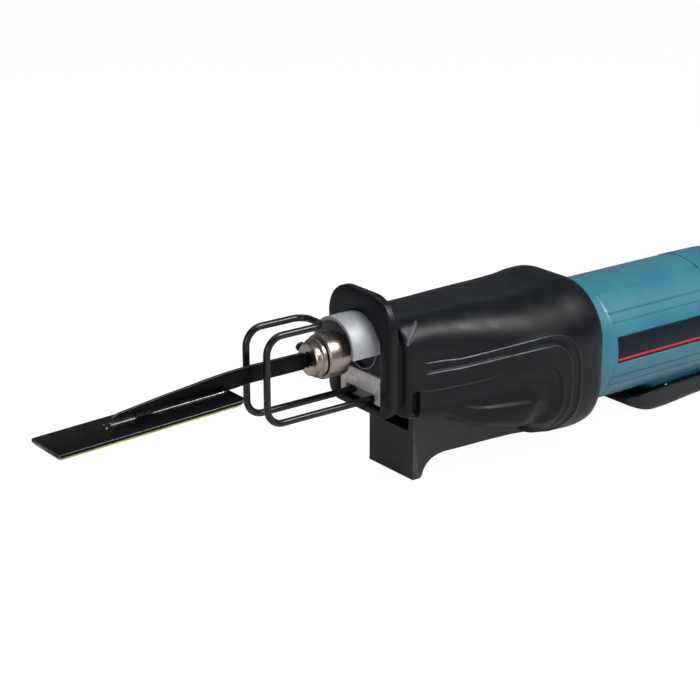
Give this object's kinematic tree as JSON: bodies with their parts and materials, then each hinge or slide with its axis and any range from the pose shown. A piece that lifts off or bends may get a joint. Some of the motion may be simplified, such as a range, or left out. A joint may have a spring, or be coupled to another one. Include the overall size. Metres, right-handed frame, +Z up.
{
  "type": "reciprocating saw",
  "caption": "In-line mains reciprocating saw with a rubber front boot, finger guard, quick blade chuck, bent-wire shoe, paddle switch and a welded plate blade.",
  "frame": {"origin": "centre of the floor of the blade slot in the chuck, on the stroke axis, with the plunger at mid stroke", "axes": "-X towards the blade tip, +X towards the cord, +Z up, -Y the tool's left side"},
  "size_m": [0.6391, 0.085, 0.1108],
  "materials": {
    "teal_housing": "fine-grained moulded plastic",
    "black_rubber": "smooth matt rubber",
    "black_plastic": "satin moulded plastic",
    "cast_aluminium": "bead-blasted die casting",
    "nickel_steel": "turned and nickel-plated",
    "steel": "machined",
    "black_wire": "gloss black coating",
    "black_blade": "satin black oxide",
    "grit": "brazed grit",
    "name_plate_film": "printed film",
    "copper": "enamelled copper",
    "lamination": "varnished laminations",
    "carbon": "pressed carbon",
    "bronze": "sintered bronze"
  },
  "bodies": {
    "saw_body": {"rubber_boot": "black_rubber", "gear_housing": "cast_aluminium", "nose_hood": "cast_aluminium", "shoe_bracket": "cast_aluminium", "dust_seal": "black_rubber", "front_plunger_bush": "bronze", "rear_plunger_bush": "bronze", "finger_guard": "black_plastic", "guard_screw_front": "steel", "guard_screw_rear": "steel", "crank_bearing": "steel", "motor_housing": "teal_housing", "name_plate": "name_plate_film", "motor_screw_1": "steel", "motor_screw_2": "steel", "motor_screw_3": "steel", "motor_screw_4": "steel", "bearing_plate": "cast_aluminium", "front_bearing": "steel", "fan_baffle": "black_plastic", "stator_core": "lamination", "upper_field_coil": "copper", "lower_field_coil": "copper", "rear_cover_left": "teal_housing", "rear_cover_right": "teal_housing", "cover_screw_1": "steel", "cover_screw_2": "steel", "cover_screw_3": "steel", "brush_carrier": "black_plastic", "rear_bearing": "steel", "carbon_brush_left": "carbon", "carbon_brush_right": "carbon", "brush_cap_left": "black_plastic", "brush_cap_right": "black_plastic", "switch_module": "black_plastic", "cord_guard": "black_rubber", "power_cord": "black_rubber", "paddle_pin": "steel", "paddle_spring": "steel"},
    "plunger_group": {"plunger": "steel", "scotch_yoke": "steel", "chuck_body": "nickel_steel"},
    "sleeve": {"chuck_sleeve": "nickel_steel"},
    "lock_pin": {"blade_lock_pin": "black_wire"},
    "blade": {"blade_bar": "black_blade", "blade_plate": "black_blade", "grit_layer": "grit"},
    "roller": {"crank_roller": "steel"},
    "crank": {"crank_gear": "steel", "crank_shaft": "steel"},
    "armature": {"armature_shaft": "steel", "pinion": "steel", "armature_core": "lamination", "armature_winding": "copper", "commutator": "copper", "cooling_fan": "black_plastic"},
    "shoe": {"wire_shoe": "black_wire"},
    "paddle": {"paddle_lever": "black_plastic"},
    "lock_lever": {"lock_off_lever": "black_plastic"},
    "button": {"switch_button": "black_plastic"}
  },
  "joints": [
    {"name": "plunger_stroke", "type": "slide", "parent": "saw_body", "child": "plunger_group", "axis": [1, 0, 0], "range_m": [-0.014, 0.014]},
    {"name": "sleeve_turn", "type": "hinge", "parent": "plunger_group", "child": "sleeve", "pos_m": [0, 0, 0], "axis": [1, 0, 0], "range_deg": [0, 60]},
    {"name": "lock_pin_lift", "type": "slide", "parent": "plunger_group", "child": "lock_pin", "axis": [0, 0.9063, 0.4226], "range_m": [0, 0.002]},
    {"name": "blade_release", "type": "slide", "parent": "plunger_group", "child": "blade", "axis": [-1, 0, 0], "range_m": [0, 0.014]},
    {"name": "roller_travel", "type": "slide", "parent": "plunger_group", "child": "roller", "axis": [0, -1, 0], "range_m": [0, 0.028]},
    {"name": "crank_spin", "type": "hinge", "parent": "saw_body", "child": "crank", "pos_m": [0.108, 0, -0.018], "axis": [0, 0, 1], "continuous": true},
    {"name": "armature_spin", "type": "hinge", "parent": "saw_body", "child": "armature", "pos_m": [0.21, 0, -0.0282], "axis": [1, 0, 0], "continuous": true},
    {"name": "shoe_adjust", "type": "slide", "parent": "saw_body", "child": "shoe", "axis": [1, 0, 0], "range_m": [0, 0.008]},
    {"name": "paddle_press", "type": "hinge", "parent": "saw_body", "child": "paddle", "pos_m": [0.308, 0, -0.068], "axis": [0, 1, 0], "range_deg": [0, 2], "deforming": ["paddle_spring"]},
    {"name": "lock_off_swing", "type": "hinge", "parent": "paddle", "child": "lock_lever", "pos_m": [0.244, 0, -0.0732], "axis": [0, 1, 0], "range_deg": [0, 20]},
    {"name": "switch_press", "type": "slide", "parent": "saw_body", "child": "button", "axis": [0, 0, 1], "range_m": [0, 0.0011]}
  ],
  "couplings": [
    {"joint": "armature_spin", "follows": "crank_spin", "ratio": -4},
    {"joint": "lock_pin_lift", "follows": "sleeve_turn", "m_per_rad": 0.0019},
    {"joint": "switch_press", "follows": "paddle_press", "m_per_rad": 0.028}
  ]
}
